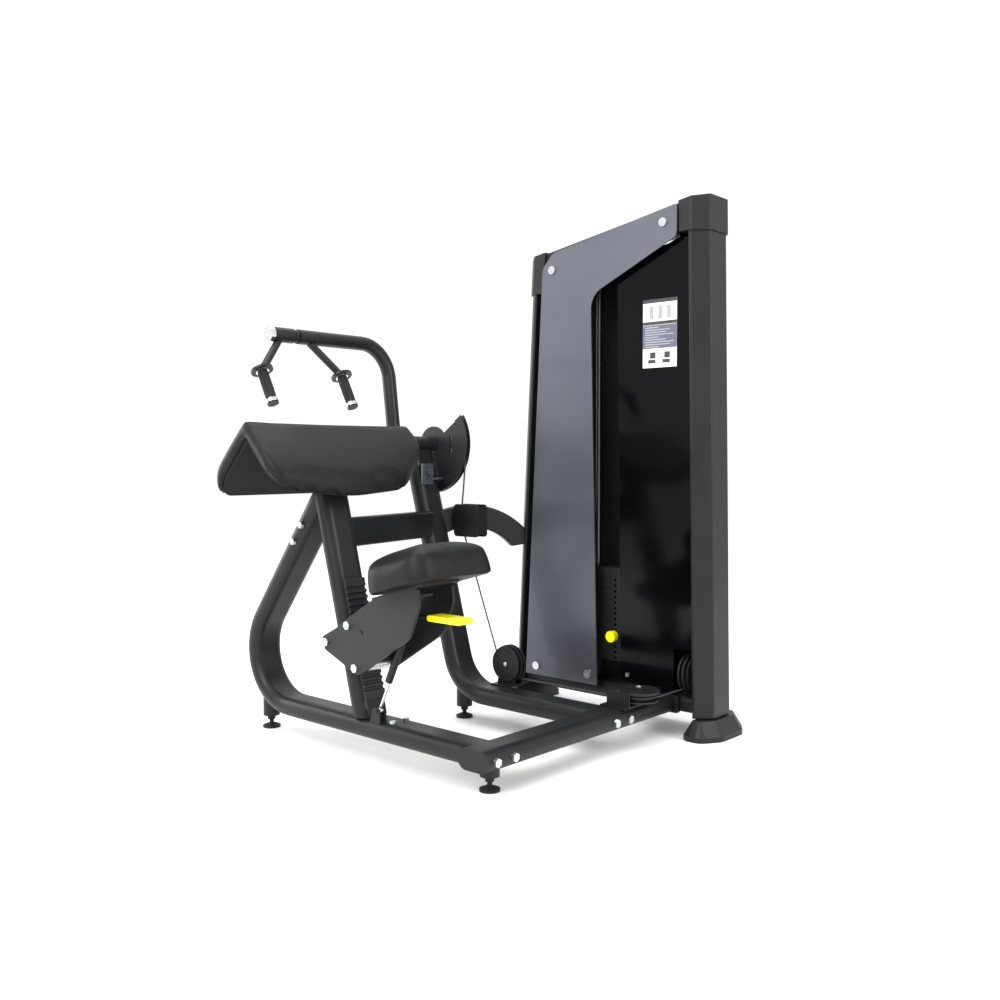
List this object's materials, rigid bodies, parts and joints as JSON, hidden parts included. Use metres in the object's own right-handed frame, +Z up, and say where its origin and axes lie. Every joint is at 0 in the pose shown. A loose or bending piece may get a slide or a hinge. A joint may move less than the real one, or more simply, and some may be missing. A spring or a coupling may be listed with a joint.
{
  "type": "seated arm extension machine",
  "caption": "Seated pin-loaded arm-extension gym machine: weight tower, low sliding seat, roof-shaped upper-arm pad and swinging arm with swivel handles.",
  "frame": {"origin": "centre of the footprint's bounding box, on the floor", "axes": "+Z up; +X across the weight tower from its far side to its near side; +Y from the user's side to the tower"},
  "size_m": [1.0759, 1.121, 1.4461],
  "materials": {
    "black_frame": "satin",
    "grey_panel": "satin",
    "black_gloss": "gloss",
    "black_plastic": "satin",
    "steel": "brushed",
    "chrome_rod": "polished",
    "rubber": "matte",
    "plate_iron": "satin",
    "upholstery": "satin",
    "yellow": "gloss",
    "side_grey": "satin",
    "cable_jacket": "satin",
    "wood_board": "matte"
  },
  "bodies": {
    "frame": {"base_beam": "black_frame", "beam_end_cap": "black_plastic", "front_loop": "black_frame", "rear_loop": "black_frame", "pad_column": "black_frame", "cross_tube": "black_frame", "arch_tube": "black_frame", "levelling_feet": "rubber", "near_upright": "black_frame", "far_upright": "black_frame", "tower_caps": "black_plastic", "top_beam": "black_frame", "tower_base": "black_frame", "tower_shoes": "black_plastic", "front_panel": "grey_panel", "dark_panel": "black_gloss", "rear_shroud": "black_plastic", "bearing_housing": "black_frame", "pulley_brackets": "black_frame", "pulley_box": "black_frame", "main_cable": "cable_jacket", "lower_plates": "plate_iron", "guide_rods": "chrome_rod", "stack_bumpers": "rubber", "back_rail": "steel", "toothed_rail": "side_grey", "spring_bracket": "black_frame", "arm_pad": "upholstery", "pad_board": "wood_board", "stop_plate": "grey_panel", "frame_bolts": "steel"},
    "arm": {"axle_shaft": "steel", "cam": "side_grey", "cam_cable": "cable_jacket", "arm_tube": "black_frame", "handle_spindle": "black_frame", "arm_end_cap": "chrome_rod"},
    "near_grip_arm": {"near_handle": "black_frame", "near_grip": "rubber"},
    "far_grip_arm": {"far_handle": "black_frame", "far_grip": "rubber"},
    "stack": {"head_plate": "plate_iron", "selected_plates": "plate_iron", "selector_stem": "steel", "stack_cable": "cable_jacket"},
    "pin": {"selector_pin": "yellow"},
    "seat": {"carriage": "side_grey", "carriage_rollers": "steel", "seat_cushion": "upholstery"},
    "latch": {"latch_lever": "black_frame", "lever_paddle": "yellow"},
    "spring_cylinder": {"gas_cylinder": "black_frame"},
    "spring_rod": {"gas_rod": "chrome_rod"},
    "box_pulley_wheel": {"box_pulley": "black_plastic"},
    "loop_pulley_wheel": {"loop_pulley": "black_plastic"},
    "flat_pulley_wheel": {"flat_pulley": "black_plastic"},
    "foot_pulley_wheel": {"foot_pulley": "black_plastic"},
    "near_top_pulley_wheel": {"near_top_pulley": "black_plastic"},
    "far_top_pulley_wheel": {"far_top_pulley": "black_plastic"}
  },
  "joints": [
    {"name": "arm_swing", "type": "hinge", "parent": "frame", "child": "arm", "pos_m": [-0.342, 0.0355, 0.7935], "axis": [0, -1, 0], "range_deg": [0, 80]},
    {"name": "stack_lift", "type": "slide", "parent": "frame", "child": "stack", "axis": [0, 0, 1], "range_m": [0, 0.195], "deforming": ["stack_cable"]},
    {"name": "pin_pull", "type": "slide", "parent": "stack", "child": "pin", "axis": [0, -1, 0], "range_m": [0, 0.075]},
    {"name": "near_handle_swivel", "type": "hinge", "parent": "arm", "child": "near_grip_arm", "pos_m": [-0.37807, -0.3325, 1.07903], "axis": [0, -1, 0], "range_deg": [-60, 60]},
    {"name": "far_handle_swivel", "type": "hinge", "parent": "arm", "child": "far_grip_arm", "pos_m": [-0.37807, -0.2535, 1.07903], "axis": [0, -1, 0], "range_deg": [-60, 60]},
    {"name": "seat_slide", "type": "slide", "parent": "frame", "child": "seat", "axis": [-0.2656, 0, 0.9641], "range_m": [-0.05, 0.08]},
    {"name": "latch_lift", "type": "hinge", "parent": "seat", "child": "latch", "pos_m": [-0.02575, -0.3045, 0.32541], "axis": [0, -1, 0], "range_deg": [0, 8], "stiffness_Nm_per_rad": 4, "springref_deg": -11.46},
    {"name": "gas_cylinder_pivot", "type": "hinge", "parent": "seat", "child": "spring_cylinder", "pos_m": [0.15, -0.3325, 0.428], "axis": [0, -1, 0], "range_deg": [-6, 9]},
    {"name": "gas_rod_pivot", "type": "hinge", "parent": "frame", "child": "spring_rod", "pos_m": [0.005, -0.3325, 0.13], "axis": [0, -1, 0], "range_deg": [-6, 9]},
    {"name": "box_pulley_turn", "type": "hinge", "parent": "frame", "child": "box_pulley_wheel", "pos_m": [-0.188, 0.1935, 0.567], "axis": [0, 1, 0], "range_deg": [0, 293]},
    {"name": "loop_pulley_turn", "type": "hinge", "parent": "frame", "child": "loop_pulley_wheel", "pos_m": [-0.032, 0.1935, 0.165], "axis": [0, 1, 0], "range_deg": [0, 293]},
    {"name": "flat_pulley_turn", "type": "hinge", "parent": "frame", "child": "flat_pulley_wheel", "pos_m": [0.385, 0.2315, 0.127], "axis": [0, 0, 1], "range_deg": [-293, 0]},
    {"name": "foot_pulley_turn", "type": "hinge", "parent": "frame", "child": "foot_pulley_wheel", "pos_m": [0.423, 0.4225, 0.165], "axis": [1, 0, 0], "range_deg": [-293, 0]},
    {"name": "near_top_pulley_turn", "type": "hinge", "parent": "frame", "child": "near_top_pulley_wheel", "pos_m": [0.385, 0.4605, 1.262], "axis": [0, 1, 0], "range_deg": [0, 293]},
    {"name": "far_top_pulley_turn", "type": "hinge", "parent": "frame", "child": "far_top_pulley_wheel", "pos_m": [0.216, 0.4605, 1.262], "axis": [0, 1, 0], "range_deg": [0, 293]}
  ],
  "couplings": [
    {"joint": "stack_lift", "follows": "arm_swing", "m_per_rad": 0.139},
    {"joint": "gas_cylinder_pivot", "follows": "seat_slide", "rad_per_m": 1.83},
    {"joint": "gas_rod_pivot", "follows": "seat_slide", "rad_per_m": 1.83},
    {"joint": "box_pulley_turn", "follows": "arm_swing", "ratio": 3.6579},
    {"joint": "loop_pulley_turn", "follows": "arm_swing", "ratio": 3.6579},
    {"joint": "flat_pulley_turn", "follows": "arm_swing", "ratio": -3.6579},
    {"joint": "foot_pulley_turn", "follows": "arm_swing", "ratio": -3.6579},
    {"joint": "near_top_pulley_turn", "follows": "arm_swing", "ratio": 3.6579},
    {"joint": "far_top_pulley_turn", "follows": "arm_swing", "ratio": 3.6579}
  ]
}
